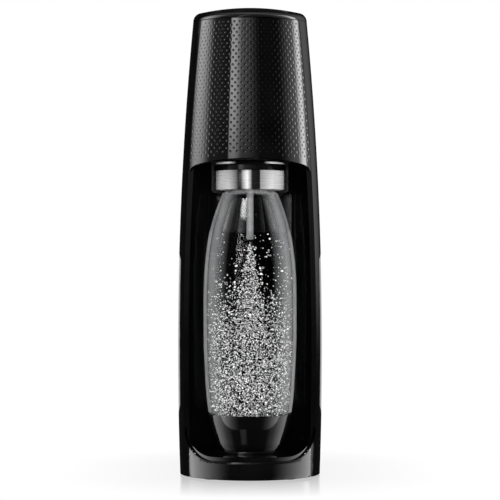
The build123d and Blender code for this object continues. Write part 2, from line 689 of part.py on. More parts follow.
with BuildPart() as holder_yoke:
    with BuildSketch(Plane.XY.offset(YOKE_LOW)):
        with Locations((0, -19)):
            RectangleRounded(83, 56, 8)
        with Locations((0, AXIS_Y)):
            Circle(NOZZLE_BLOCK_R + 0.2, mode=Mode.SUBTRACT)
    extrude(amount=YOKE_HIGH - YOKE_LOW)
    for side in (-1, 1):
        ear = sorted((side * 37.5, side * 41.5))
        add(block(ear, (PIVOT_Y - 6, PIVOT_Y + 6), (YOKE_LOW, PIVOT_Z)))
        add(cross_rod(6.0, ear[0], ear[1], PIVOT_Y, PIVOT_Z))
    add(cross_rod(PIVOT_R + RUN, -60, 60, PIVOT_Y, PIVOT_Z), mode=Mode.SUBTRACT)
save(holder_yoke, "holder_yoke")

with BuildPart() as nozzle_shroud:
    with BuildSketch(bay_plane):
        with BuildLine():
            Line((27.2, 259.4), (29.4, 259.4))
            Line((29.4, 259.4), (29.4, 275.4))
            Line((29.4, 275.4), (SHROUD_R, 275.4))
            Line((SHROUD_R, 275.4), (SHROUD_R, 279.8))
            RadiusArc((SHROUD_R, 279.8), (SHROUD_R - 4, 283.8), -4)
            Line((SHROUD_R - 4, 283.8), (22.4, 283.8))
            Line((22.4, 283.8), (22.4, 281.4))
            Line((22.4, 281.4), (27.2, 281.4))
            Line((27.2, 281.4), (27.2, 259.4))
        make_face()
    revolve(axis=bay_axis)
save(nozzle_shroud, "nozzle_shroud")

with BuildPart() as collar_ring:
    with BuildSketch(bay_plane):
        with BuildLine():
            Line((29.5, COLLAR_HIGH), (COLLAR_R, COLLAR_HIGH))
            Line((COLLAR_R, COLLAR_HIGH), (COLLAR_R, COLLAR_LOW + 1.2))
            RadiusArc((COLLAR_R, COLLAR_LOW + 1.2), (COLLAR_R - 1.2, COLLAR_LOW), 1.2)
            Line((COLLAR_R - 1.2, COLLAR_LOW), (27.4, COLLAR_LOW))
            Line((27.4, COLLAR_LOW), (27.4, COLLAR_LOW + 1.3))
            Line((27.4, COLLAR_LOW + 1.3), (29.5, COLLAR_LOW + 1.3))
            Line((29.5, COLLAR_LOW + 1.3), (29.5, COLLAR_HIGH))
        make_face()
    revolve(axis=bay_axis)
save(collar_ring, "collar_ring")

NECK_TOP = 281.0
with BuildPart() as nozzle_block:
    add(rod(26.5, NECK_TOP + 2.95, NECK_TOP + 6.2))
    add(rod(NOZZLE_BLOCK_R, NECK_TOP + 6, 300.0))
    fillet(nozzle_block.edges().group_by(Axis.Z)[-1], 2.0)
    add(rod(12.0, NECK_TOP + 2.1, NECK_TOP + 3))
    add(rod(NOZZLE_R + 0.02, NECK_TOP, 292.0), mode=Mode.SUBTRACT)
    add(rod(1.5, 291.0, 296.0), mode=Mode.SUBTRACT)
save(nozzle_block, "nozzle_block")

with BuildPart() as nozzle_tube:
    add(rod(NOZZLE_R, NOZZLE_TIP, 291.9))
    fillet(nozzle_tube.edges().group_by(Axis.Z)[0], 1.2)
    add(rod(2.0, NOZZLE_TIP + 4, 293), mode=Mode.SUBTRACT)
    add(rod(0.6, NOZZLE_TIP - 1, NOZZLE_TIP + 5), mode=Mode.SUBTRACT)
save(nozzle_tube, "nozzle_tube")

with BuildPart() as bottle_gasket:
    add(turned([(12.2, NECK_TOP + 0.1), (22.0, NECK_TOP + 0.1), (22.0, NECK_TOP + 0.35),
                (15.9, NECK_TOP + 2.0), (12.2, NECK_TOP + 2.0)]))
save(bottle_gasket, "bottle_gasket")

jaw_ring = turned([(NECK_R + 0.5, 259.9), (24.0, 259.9), (24.0, 263.4), (NECK_R + 0.5, 263.4)])
for side, name in ((-1, "left_clamp"), (1, "right_clamp")):
    with BuildPart() as clamp_jaw:
        add(jaw_ring)
        add(block(sorted((side * 1.5, side * 40)), (-70, 20), (250, 270)), mode=Mode.INTERSECT)
    save(clamp_jaw, name)

# ---- bottle ----
BOTTLE_WIDEST = (42.3, 132.0)  # radius, z
SHOULDER = [(40.9, 192.0), (35.7, 224.4), (25.3, 254.8)]
CUP_RIM = (37.8, 55.2)
CUP_MIDDLE = (34.4, 42.0)
CUP_FOOT = (29.6, 28.4)
CUP_BOTTOM = (25.2, 22.8)
CUP_WALL = 1.6
CUP_GAP = 0.3
BOTTLE_BASE_Z = 26.2


def bottle_body(inset):
    """Solid of the bottle's outside, moved in by inset."""
    wide_r, wide_z = BOTTLE_WIDEST
    rim_r, rim_z = CUP_RIM
    mid_r, mid_z = CUP_MIDDLE
    low_r = CUP_FOOT[0] - CUP_WALL - CUP_GAP
    low_z = CUP_FOOT[1] + 2.0
    neck = NECK_R - inset
    with BuildPart() as solid:
        with BuildSketch(bay_plane):
            with BuildLine():
                points = [(wide_r - inset, wide_z)] + [(r - inset, z) for r, z in SHOULDER]
                Spline(*points, tangents=[(0, 1), (-0.42, 1)])
                Line((SHOULDER[-1][0] - inset, SHOULDER[-1][1]), (neck, 258.6))
                Line((neck, 258.6), (neck, NECK_TOP))
                Line((neck, NECK_TOP), (0, NECK_TOP))
                Line((0, NECK_TOP), (0, BOTTLE_BASE_Z + 7 + inset))
                ThreePointArc(
                    (0, BOTTLE_BASE_Z + 7 + inset),
                    (11, BOTTLE_BASE_Z + 5 + inset),
                    (20 - inset, BOTTLE_BASE_Z + inset),
                )
                Line((20 - inset, BOTTLE_BASE_Z + inset), (low_r - inset, low_z + inset))
                Spline(
                    (low_r - inset, low_z + inset),
                    (mid_r - CUP_WALL - CUP_GAP - inset, mid_z),
                    (rim_r - CUP_WALL - CUP_GAP - inset, rim_z),
                    tangents=[(0.3, 1), (0.2, 1)],
                )
                Line((rim_r - CUP_WALL - CUP_GAP - inset, rim_z), (rim_r - inset, rim_z + 1.5))
                Spline(
                    (rim_r - inset, rim_z + 1.5),
                    (41.0 - inset, 93.0),
                    (wide_r - inset, wide_z),
                    tangents=[(0.16, 1), (0, 1)],
                )
            make_face()
        revolve(axis=bay_axis)
    return solid.part


bottle_outside = bottle_body(0)
bottle_inside = bottle_body(BOTTLE_WALL)

with BuildPart() as bottle:
    add(bottle_outside)
    add(turned([(NECK_R - 1, 263.9), (23.2, 263.9), (23.2, 266.0), (NECK_R - 1, 266.0)]))
    for z in (270.0, 274.5):
        add(turned([(NECK_R - 0.5, z), (NECK_R + 1.1, z + 0.6), (NECK_R + 1.1, z + 1.2),
                    (NECK_R - 0.5, z + 1.8)]))
    add(bottle_inside, mode=Mode.SUBTRACT)
    add(rod(NECK_R - BOTTLE_WALL, 260, NECK_TOP + 1), mode=Mode.SUBTRACT)
save(bottle, "bottle")

inner_foot = (CUP_FOOT[0] - CUP_WALL, CUP_FOOT[1])
inner_middle = (CUP_MIDDLE[0] - CUP_WALL, CUP_MIDDLE[1])
inner_rim = (CUP_RIM[0] - CUP_WALL, CUP_RIM[1])
inner_bottom = (CUP_BOTTOM[0] - 0.8, CUP_BOTTOM[1] + CUP_WALL)
with BuildPart() as bottle_base_cup:
    with BuildSketch(bay_plane):
        with BuildLine():
            Line((0, CUP_BOTTOM[1]), CUP_BOTTOM)
            Line(CUP_BOTTOM, CUP_FOOT)
            Spline(CUP_FOOT, CUP_MIDDLE, CUP_RIM, tangents=[(0.3, 1), (0.2, 1)])
            Line(CUP_RIM, inner_rim)
            Spline(inner_rim, inner_middle, inner_foot, tangents=[(-0.2, -1), (-0.3, -1)])
            Line(inner_foot, inner_bottom)
            Line(inner_bottom, (0, inner_bottom[1]))
            Line((0, inner_bottom[1]), (0, CUP_BOTTOM[1]))
        make_face()
    revolve(axis=bay_axis)
save(bottle_base_cup, "bottle_base_cup")

with BuildPart() as water:
    add(bottle_body(BOTTLE_WALL + 0.1))
    add(block((-60, 60), (-90, 40), (WATER_Z, 300)), mode=Mode.SUBTRACT)
    add(rod(NOZZLE_R + 0.2, NOZZLE_TIP - 0.3, WATER_Z + 1), mode=Mode.SUBTRACT)
save(water, "water")
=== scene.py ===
import json
import math

import bmesh
import bpy
import numpy as np
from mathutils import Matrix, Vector

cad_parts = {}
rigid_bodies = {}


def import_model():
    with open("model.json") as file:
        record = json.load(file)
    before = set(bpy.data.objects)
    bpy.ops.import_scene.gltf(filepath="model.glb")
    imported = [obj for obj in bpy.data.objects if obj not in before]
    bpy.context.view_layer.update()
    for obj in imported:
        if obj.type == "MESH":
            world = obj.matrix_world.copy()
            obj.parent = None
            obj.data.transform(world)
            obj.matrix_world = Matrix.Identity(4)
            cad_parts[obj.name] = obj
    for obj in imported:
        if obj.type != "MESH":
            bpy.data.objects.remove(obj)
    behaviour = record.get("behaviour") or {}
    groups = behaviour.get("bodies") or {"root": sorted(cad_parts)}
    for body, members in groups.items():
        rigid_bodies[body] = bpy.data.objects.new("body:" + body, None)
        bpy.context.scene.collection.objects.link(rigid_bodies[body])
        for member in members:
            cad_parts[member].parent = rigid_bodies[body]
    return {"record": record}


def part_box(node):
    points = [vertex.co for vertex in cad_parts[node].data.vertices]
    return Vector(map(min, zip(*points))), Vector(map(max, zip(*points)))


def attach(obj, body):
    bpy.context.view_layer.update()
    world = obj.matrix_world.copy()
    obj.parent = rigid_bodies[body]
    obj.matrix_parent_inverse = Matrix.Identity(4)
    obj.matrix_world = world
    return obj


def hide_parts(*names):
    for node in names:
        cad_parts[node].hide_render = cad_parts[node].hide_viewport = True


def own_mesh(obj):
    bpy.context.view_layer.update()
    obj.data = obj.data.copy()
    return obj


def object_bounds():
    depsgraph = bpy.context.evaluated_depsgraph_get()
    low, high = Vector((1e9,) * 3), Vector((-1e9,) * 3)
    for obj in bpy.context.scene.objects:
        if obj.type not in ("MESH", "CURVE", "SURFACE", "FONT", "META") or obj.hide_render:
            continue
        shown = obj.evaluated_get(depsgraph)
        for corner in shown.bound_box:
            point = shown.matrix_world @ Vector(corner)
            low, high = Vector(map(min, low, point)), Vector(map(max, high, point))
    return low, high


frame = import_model()
cad_low, cad_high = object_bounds()

MM = 0.001

# ---- driving dimensions of the casing, repeated from the CAD ----
HALF_WIDTH = 65.4 * MM  # at the widest level
DEPTH = 185.0 * MM
WIDEST_Z = 115.0 * MM
SIDE_RADIUS = 3150.0 * MM  # barrel curve of every upright wall
BAY_SILL = 17.2 * MM
COLLAR_R = 31.1 * MM
BOTTLE_SEAT = 54.5 * MM  # the bottle's wall is hidden in its cup below this level
WATER_LEVEL = 220.3 * MM
FAINT_GLOSS = 0.2  # share of the bottle's gloss that is left where water stands behind it
FRONT_SEAM_Y = -56.4 * MM  # rear edge of the head cover
COVER_TOP = 409.0 * MM
LIP_FRONT = 284.0 * MM  # lower edge of the head cover, at the middle
LIP_SLOPE = math.tan(math.radians(12.4))
LIP_BEND_Y = -66.0 * MM  # the lip turns down from here to the seam
LIP_BEND_R = 16.5 * MM


def half_width(z):
    """Half the casing's width at level z."""
    return HALF_WIDTH - (z - WIDEST_Z) ** 2 / (2 * SIDE_RADIUS)


AXIS_Y = half_width(BAY_SILL) - DEPTH / 2  # bottle axis, and centre of the round front


# ---- node trees ----
EVEN = (1.0, 1.0, 1.0)
ALONG_X = (0.35, 0.35, 30.0)  # stretch that turns noise into horizontal brushing
NOISE_ROUGHNESS = 0.55


class Tree:
    """Short calls for building one node tree."""

    def __init__(self, owner):
        owner.use_nodes = True
        self.tree = owner.node_tree
        self.tree.nodes.clear()

    def node(self, kind, **settings):
        made = self.tree.nodes.new(kind)
        for key, value in settings.items():
            setattr(made, key, value)
        return made

    def feed(self, socket, value):
        """Set a socket, or link another node's output to it."""
        if isinstance(value, bpy.types.NodeSocket):
            self.tree.links.new(value, socket)
        else:
            socket.default_value = value

    def math(self, operation, a, b=0.0):
        made = self.node("ShaderNodeMath", operation=operation)
        self.feed(made.inputs[0], a)
        self.feed(made.inputs[1], b)
        return made.outputs[0]

    def product(self, *factors):
        """All factors multiplied."""
        made = factors[0]
        for factor in factors[1:]:
            made = self.math("MULTIPLY", made, factor)
        return made

    def total(self, *parts):
        """All parts added."""
        made = parts[0]
        for part in parts[1:]:
            made = self.math("ADD", made, part)
        return made

    def mapped(self, kind, *given):
        """A Map Range node of this kind, fed with value, from low, from high, start and end."""
        made = self.node("ShaderNodeMapRange", interpolation_type=kind)
        for name, value in zip(("Value", "From Min", "From Max", "To Min", "To Max"), given):
            self.feed(made.inputs[name], value)
        return made.outputs["Result"]

    def smooth(self, value, low, high, start=0.0, end=1.0):
        """A soft step from start to end while value goes from low to high."""
        return self.mapped("SMOOTHSTEP", value, low, high, start, end)

    def line(self, value, low, high, start, end):
        """A straight ramp from start to end, held at both ends."""
        return self.mapped("LINEAR", value, low, high, start, end)

    def position(self):
        """The X, Y and Z outputs of the object coordinates."""
        made = self.node("ShaderNodeSeparateXYZ")
        self.feed(made.inputs[0], self.node("ShaderNodeTexCoord").outputs["Object"])
        return made.outputs

    def mottle(self, scale, detail, low, high, stretch=EVEN, darkest=0.3, lightest=0.7):
        """Noise spread over the range low to high."""
        return self.line(self.noise(scale, detail, stretch), darkest, lightest, low, high)

    def place(self, stretch):
        """Object coordinates, stretched."""
        where = self.node("ShaderNodeTexCoord")
        made = self.node("ShaderNodeMapping")
        self.feed(made.inputs["Vector"], where.outputs["Object"])
        self.feed(made.inputs["Scale"], stretch)
        return made.outputs["Vector"]

    def noise(self, scale, detail, stretch=EVEN):
        made = self.node("ShaderNodeTexNoise")
        self.feed(made.inputs["Vector"], self.place(stretch))
        self.feed(made.inputs["Scale"], scale)
        self.feed(made.inputs["Detail"], detail)
        self.feed(made.inputs["Roughness"], NOISE_ROUGHNESS)
        return made.outputs["Fac"]

    def bump(self, height, strength, distance):
        made = self.node("ShaderNodeBump")
        self.feed(made.inputs["Height"], height)
        self.feed(made.inputs["Strength"], strength)
        self.feed(made.inputs["Distance"], distance)
        return made.outputs["Normal"]

    def greys(self, factor, stops):
        """A ramp through (place, grey) stops."""
        return self.colours(factor, *((place, (grey, grey, grey)) for place, grey in stops))

    def colours(self, factor, *stops):
        """A colour ramp through (place, colour) stops."""
        made = self.node("ShaderNodeValToRGB")
        ramp = made.color_ramp
        while len(ramp.elements) < len(stops):
            ramp.elements.new(0.5)
        for element, (place, colour) in zip(ramp.elements, stops):
            element.position = place
            element.color = (*colour, 1.0)
        self.feed(made.inputs["Fac"], factor)
        return made.outputs["Color"]

    def blend(self, factor, first, second):
        made = self.node("ShaderNodeMixShader")
        self.feed(made.inputs[0], factor)
        self.feed(made.inputs[1], first)
        self.feed(made.inputs[2], second)
        return made.outputs[0]

    def output(self, shader, kind="ShaderNodeOutputMaterial"):
        made = self.node(kind)
        self.feed(made.inputs["Surface"], shader)


def principled(name, colour, roughness, metallic=0.0, ior=1.45, normal=None, **more):
    """A Principled material; colour, roughness and normal are made by functions of its tree."""
    made = bpy.data.materials.new(name)
    tree = Tree(made)
    shader = tree.node("ShaderNodeBsdfPrincipled")
    tree.feed(shader.inputs["Base Color"], colour(tree))
    tree.feed(shader.inputs["Roughness"], roughness(tree))
    shader.inputs["Metallic"].default_value = metallic
    shader.inputs["IOR"].default_value = ior
    for socket, value in more.items():
        shader.inputs[socket.replace("_", " ")].default_value = value
    if normal:
        tree.feed(shader.inputs["Normal"], normal(tree))
    tree.output(shader.outputs[0])
    return made


# ---- materials ----
def orange_peel(tree):
    """The slight waviness of a polished moulding."""
    return tree.bump(tree.noise(260.0, 2.0), 0.05, 0.00006)


def turned_lines(tree):
    """Fine horizontal turning marks."""
    return tree.bump(tree.noise(220.0, 5.0, ALONG_X), 0.12, 0.00004)


def gloss_black(name, streaks=0.0):
    """Polished black moulding: faint tone change, polish haze and a slight orange peel."""
    def colour(tree):
        return tree.colours(tree.noise(35.0, 4.0), (0.3, (0.0007, 0.0007, 0.0008)),
                            (0.7, (0.0017, 0.0017, 0.0018)))

    def roughness(tree):
        haze = tree.mottle(140.0, 5.0, 0.035, 0.075, darkest=0.35)
        if not streaks:
            return haze
        return tree.total(haze, tree.mottle(60.0, 6.0, 0.0, streaks, (0.25, 0.25, 26.0), darkest=0.4))

    return principled(name, colour, roughness, normal=orange_peel)


def satin_black(name):
    """Inner mouldings: fine spark-eroded grain."""
    def colour(tree):
        return tree.colours(tree.noise(90.0, 4.0), (0.3, (0.003, 0.003, 0.0032)),
                            (0.7, (0.0075, 0.0075, 0.008)))

    def roughness(tree):
        return tree.mottle(900.0, 3.0, 0.34, 0.52)

    def normal(tree):
        return tree.bump(tree.noise(2600.0, 2.0), 0.25, 0.00005)

    return principled(name, colour, roughness, normal=normal)


def brushed(name, dark, light, stretch, low=0.16, high=0.34):
    """Brushed metal with fine lines across the longest stretch."""
    def colour(tree):
        return tree.colours(tree.noise(120.0, 6.0, stretch), (0.3, dark), (0.7, light))

    def roughness(tree):
        return tree.mottle(150.0, 6.0, low, high, stretch)

    def normal(tree):
        return tree.bump(tree.noise(220.0, 5.0, stretch), 0.12, 0.00004)

    return principled(name, colour, roughness, metallic=1.0, normal=normal)


def cast(name, dark, light, metallic, low, high, grain=700.0, strength=0.15):
    """Metal, paint or rubber with a cloudy tone and a fine grain."""
    def colour(tree):
        return tree.colours(tree.noise(60.0, 5.0), (0.3, dark), (0.7, light))

    def roughness(tree):
        return tree.mottle(300.0, 4.0, low, high)

    def normal(tree):
        return tree.bump(tree.noise(grain, 3.0), strength, 0.00006)

    return principled(name, colour, roughness, metallic=metallic, normal=normal)


def clear(name, tint, edge_colour, shares, ior, gloss_roughness, right_painted_highlight_gain=1.0, clear_below=None,
          dull_below=None):
    """Clear plastic: see-through straight on, its wall showing toward the edges, and a gloss.

    shares lists (facing, share of wall seen), and the right-side gain strengthens it on the +x side, as a
    painted highlight.
    Below the level clear_below the wall is see-through; below dull_below its gloss is faint.
    """
    made = bpy.data.materials.new(name)
    tree = Tree(made)
    seen = tree.node("ShaderNodeBsdfTransparent")
    seen.inputs["Color"].default_value = (*tint, 1.0)
    facing = tree.node("ShaderNodeLayerWeight")
    facing.inputs["Blend"].default_value = 0.5
    where = tree.position()
    # the stronger wall share on the +x side is a painted highlight
    amount = tree.product(tree.greys(facing.outputs["Facing"], shares),
                          tree.smooth(where["X"], -20 * MM, 20 * MM, 1.0, right_painted_highlight_gain))
    if clear_below:
        amount = tree.product(amount, tree.smooth(where["Z"], clear_below, clear_below + 4 * MM))
    amount = tree.product(amount, tree.mottle(90.0, 4.0, 0.8, 1.2))
    wall = tree.node("ShaderNodeBsdfPrincipled")
    wall.inputs["Base Color"].default_value = (*edge_colour, 1.0)
    wall.inputs["Roughness"].default_value = 0.35
    body = tree.blend(amount, seen.outputs[0], wall.outputs[0])
    shine = tree.node("ShaderNodeBsdfGlossy")
    tree.feed(shine.inputs["Roughness"], tree.mottle(160.0, 4.0, gloss_roughness, gloss_roughness * 1.8))
    tree.feed(shine.inputs["Normal"], tree.bump(tree.noise(45.0, 3.0), 0.12, 0.0002))
    straight_on = ((ior - 1) / (ior + 1)) ** 2
    grazing = tree.math("POWER", facing.outputs["Facing"], 5.0)
    mirrored = tree.line(grazing, 0.0, 1.0, straight_on, min(1.0, 25 * straight_on))
    if dull_below:
        mirrored = tree.product(mirrored, tree.smooth(where["Z"], dull_below - 2 * MM, dull_below + 3 * MM,
                                                      FAINT_GLOSS, 1.0))
    tree.output(tree.blend(mirrored, body, shine.outputs[0]))
    return made


def collar_painted_reflection(name):
    """Finely turned steel, with a painted reflection: light and dark upright bands from left to right."""
    def colour(tree):
        across = tree.line(tree.position()["X"], -COLLAR_R, COLLAR_R, 0.0, 1.0)
        # painted reflection: bright sides fall to two dark bands, with one painted soft highlight between
        # them
        stops = ((0.0, 0.8), (0.3, 0.1), (0.33, 0.005), (0.37, 0.005), (0.46, 0.5), (0.53, 0.005),
                 (0.64, 0.005), (0.65, 0.2), (1.0, 0.8))
        return tree.product(tree.greys(across, stops), tree.mottle(120.0, 6.0, 0.86, 1.1, ALONG_X))

    def roughness(tree):
        return tree.mottle(150.0, 6.0, 0.2, 0.36, ALONG_X)

    return principled(name, colour, roughness, metallic=0.25, normal=turned_lines)


def sheen_painted_black(name):
    """Polished black cup with a pale sheen painted into its base colour on its turned-away sides, set by
    Layer Weight.
    """
    def colour(tree):
        level = tree.node("ShaderNodeVectorMath", operation="MULTIPLY")
        tree.feed(level.inputs[0], tree.node("ShaderNodeNewGeometry").outputs["Normal"])
        level.inputs[1].default_value = (1.0, 1.0, 0.0)
        outward = tree.node("ShaderNodeVectorMath", operation="NORMALIZE")
        tree.feed(outward.inputs[0], level.outputs["Vector"])
        facing = tree.node("ShaderNodeLayerWeight")
        facing.inputs["Blend"].default_value = 0.5
        tree.feed(facing.inputs["Normal"], outward.outputs["Vector"])
        # painted sheen: pale bands by facing, brightest near 0.54 and again at the grazing edge
        stops = ((0.0, 0.0012), (0.12, 0.002), (0.24, 0.02), (0.36, 0.07), (0.49, 0.15),
                 (0.54, 0.19), (0.57, 0.008), (0.85, 0.003), (0.95, 0.07))
        return tree.greys(tree.product(facing.outputs["Facing"], tree.mottle(50.0, 4.0, 0.98, 1.02)), stops)

    def roughness(tree):
        return tree.mottle(140.0, 5.0, 0.05, 0.12, darkest=0.35)

    return principled(name, colour, roughness, normal=orange_peel)


def shroud_black_painted_highlight(name):
    """Black nozzle shroud with a painted highlight: a bright line on each side, just under its upper rim."""
    def colour(tree):
        where = tree.position()
        side = tree.math("ABSOLUTE", where["X"])
        # painted highlight: a bright band just under the rim, on both sides of the middle
        line = tree.product(tree.smooth(where["Z"], 280.6 * MM, 281.2 * MM),
                            tree.smooth(where["Z"], 282.4 * MM, 283.0 * MM, 1.0, 0.0),
                            tree.smooth(side, 12.0 * MM, 20.0 * MM),
                            tree.smooth(side, 29.0 * MM, 32.2 * MM, 1.0, 0.0),
                            tree.mottle(90.0, 4.0, 0.75, 1.0))
        return tree.greys(line, ((0.0, 0.002), (1.0, 0.85)))

    def roughness(tree):
        return tree.mottle(140.0, 5.0, 0.1, 0.2, darkest=0.35)

    return principled(name, colour, roughness, normal=orange_peel)


materials = {
    "casing_black": gloss_black("casing_black"),
    "inner_black": satin_black("inner_black"),
    "collar_steel": collar_painted_reflection("collar_steel"),
    "spring_steel": brushed("spring_steel", (0.50, 0.50, 0.52), (0.72, 0.72, 0.74), EVEN, 0.12, 0.3),
    "brass": cast("brass", (0.62, 0.42, 0.16), (0.83, 0.62, 0.30), 1.0, 0.18, 0.36),
    "cylinder_paint": brushed("cylinder_paint", (0.56, 0.57, 0.59), (0.70, 0.71, 0.73), ALONG_X, 0.26, 0.42),
    "block_alloy": cast("block_alloy", (0.42, 0.43, 0.45), (0.58, 0.59, 0.61), 1.0, 0.3, 0.5, 1500.0, 0.3),
    "rubber": cast("rubber", (0.014, 0.014, 0.014), (0.032, 0.032, 0.032), 0.0, 0.55, 0.8, 1200.0, 0.3),
    "silicone": cast("silicone", (0.58, 0.58, 0.55), (0.72, 0.72, 0.69), 0.0, 0.3, 0.5),
    "smoke_clear": clear("smoke_clear", (0.95, 0.95, 0.95), (0.3, 0.3, 0.305),
                         ((0.0, 0.0), (0.55, 0.02), (0.8, 0.3), (1.0, 0.7)), 1.4, 0.05),
    "nozzle_grey": clear("nozzle_grey", (0.8, 0.8, 0.8), (0.42, 0.42, 0.43),
                         ((0.0, 0.4), (0.35, 0.45), (0.6, 0.9), (1.0, 1.0)), 1.45, 0.12),
    # bottle: the wall share dips after 0.6 and climbs to a bright line at the edge, partly the wall seen
    # edge-on and partly a painted reflection of its rims; the 1.35 gain is a painted highlight on its +x
    # side
    "bottle_clear": clear("bottle_clear", (0.99, 0.99, 0.99), (0.66, 0.67, 0.68),
                          ((0.0, 0.0), (0.15, 0.0), (0.28, 0.03), (0.45, 0.11), (0.6, 0.13), (0.64, 0.03),
                           (0.69, 0.03), (0.73, 0.8), (1.0, 1.0)), 1.5, 0.035, 1.35, BOTTLE_SEAT,
                          WATER_LEVEL),
    "water": clear("water", (0.985, 0.99, 0.99), (0.5, 0.5, 0.5),
                   ((0.0, 0.0), (0.3, 0.0), (0.7, 0.06), (1.0, 0.12)), 1.05, 0.03),
}
streaked_black = gloss_black("fascia_black", 0.12)
own_finish = {"front_fascia": streaked_black, "base_plate": streaked_black,
              "bottle_base_cup": sheen_painted_black("cup_painted_sheen"), "nozzle_shroud": shroud_black_painted_highlight("shroud_black_painted_highlight")}
ROUNDED = {"front_fascia": 0.5 * MM, "bottle_base_cup": 0.4 * MM, "collar_ring": 0.5 * MM}  # edges

for row in frame["record"]["subparts"]:
    finish = own_finish.get(row["node"], materials[row["material_slot"]])
    mesh = bpy.data.objects[row["node"]].data
    mesh.materials.clear()
    mesh.materials.append(finish)

for node, width in ROUNDED.items():
    weld = bpy.data.objects[node].modifiers.new("weld", "WELD")
    weld.merge_threshold = 0.01 * MM
    bevel = bpy.data.objects[node].modifiers.new("edges", "BEVEL")
    bevel.width = width
    bevel.segments = 3
    bevel.limit_method = "ANGLE"
    bevel.angle_limit = math.radians(35)
    bevel.harden_normals = True


# ---- copies of the springs ----
def flexing_spring(node):
    """A copy of the CAD spring on the machine body; the CAD spring itself is hidden."""
    part = bpy.data.objects[node]
    made = bpy.data.objects.new(node + "_flexing", part.data.copy())
    made.matrix_world = part.matrix_world
    bpy.context.scene.collection.objects.link(made)
    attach(made, "machine")
    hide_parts(node)
    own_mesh(made)


flexing_spring("button_spring")
flexing_spring("plunger_spring")
flexing_spring("latch_spring")
flexing_spring("relief_spring")


# ---- head cover: dimpled front of the casing's head ----
COLUMNS = 40
PITCH = 6.4 * MM  # between dimples of one column; neighbours are half a pitch lower
STEP = PITCH / 4
DIMPLE_R = 1.12 * MM
DIMPLE_DEPTH = 0.17 * MM
SIDE_BORDER = 1.6 * MM
LIP_BORDER = 1.6 * MM
EDGE_R = 0.45 * MM  # rounding of the cover's outer edges
THICKNESS = 2.0 * MM
RINGS = ((1.14, 0.0), (1.0, 0.5), (0.84, 1.0), (0.55, 1.0), (0.28, 1.0))  # radius, slope share
CORNERS = 12  # vertices round one dimple
HEAD_Z = 350.0 * MM  # level at which the side border is measured


def lip_z(y):
    """Height of the cover's sloping lower edge."""
    front = AXIS_Y - half_width(LIP_FRONT)
    straight = LIP_FRONT - (min(y, LIP_BEND_Y) - front) * LIP_SLOPE
    if y <= LIP_BEND_Y:
        return straight
    lean = math.atan(LIP_SLOPE)
    centre_y = LIP_BEND_Y - LIP_BEND_R * math.sin(lean)
    centre_z = straight - LIP_BEND_R * math.cos(lean)
    return centre_z + math.sqrt(LIP_BEND_R**2 - (y - centre_y) ** 2)


def seam_angle(z):
    """Angle from the middle of the front round to the seam, at level z."""
    return math.acos((AXIS_Y - FRONT_SEAM_Y) / half_width(z))


def on_cover(share, z, out=0.0):
    """A point of the cover's outer face and its outward normal; share is -1 to 1 across."""
    r = half_width(z)
    angle = share * seam_angle(z)
    lean = (z - WIDEST_Z) / SIDE_RADIUS
    normal = Vector((math.sin(angle), -math.cos(angle), lean)).normalized()
    point = Vector((r * math.sin(angle), AXIS_Y - r * math.cos(angle), z))
    return point + normal * out, normal


def lip_at(share):
    """Level of the lip where the column at this share meets it."""
    z = LIP_FRONT
    for _ in range(12):
        z = lip_z(on_cover(share, z)[0].y)
    return z


class Shell:
    """Vertices with normals of their own, and faces."""

    def __init__(self):
        self.points = []
        self.normals = []
        self.faces = []

    def vertex(self, point, normal):
        self.points.append(point)
        self.normals.append(normal)
        return len(self.points) - 1


def dimple(shell, ring, share, z):
    """A round hollow inside one cell, whose corner vertices go round it."""
    centre, normal = on_cover(share, z)
    across = Vector((-normal.y, normal.x, 0)).normalized()
    up = normal.cross(across)
    if up.z < 0:
        up = -up
    last = ring
    for radius, slope_share in RINGS:
        rim = []
        for corner in ring:
            away = shell.points[corner] - centre
            angle = math.atan2(away.dot(up), away.dot(across))
            side = across * math.cos(angle) + up * math.sin(angle)
            depth = DIMPLE_DEPTH * max(0.0, 1.0 - radius**2)
            bend = (radius * DIMPLE_R) ** 2 / (2 * half_width(z)) * math.cos(angle) ** 2
            slope = 2 * DIMPLE_DEPTH * radius / DIMPLE_R * slope_share
            point = centre + side * radius * DIMPLE_R - normal * (depth + bend)
            rim.append(shell.vertex(point, (normal - side * slope).normalized()))
        for i in range(CORNERS):
            j = (i + 1) % CORNERS
            shell.faces.append((last[i], rim[i], rim[j], last[j]))
        last = rim
    bottom = shell.vertex(centre - normal * DIMPLE_DEPTH, normal)
    for i in range(CORNERS):
        shell.faces.append((last[i], bottom, last[(i + 1) % CORNERS]))


def cover_lines(border):
    """Shares of the upright lattice lines, two per column, with the seam lines outside them."""
    inner = 1.0 - border
    lines = [inner * (i / COLUMNS - 1.0) for i in range(2 * COLUMNS + 1)]
    return [-1.0] + lines + [1.0]


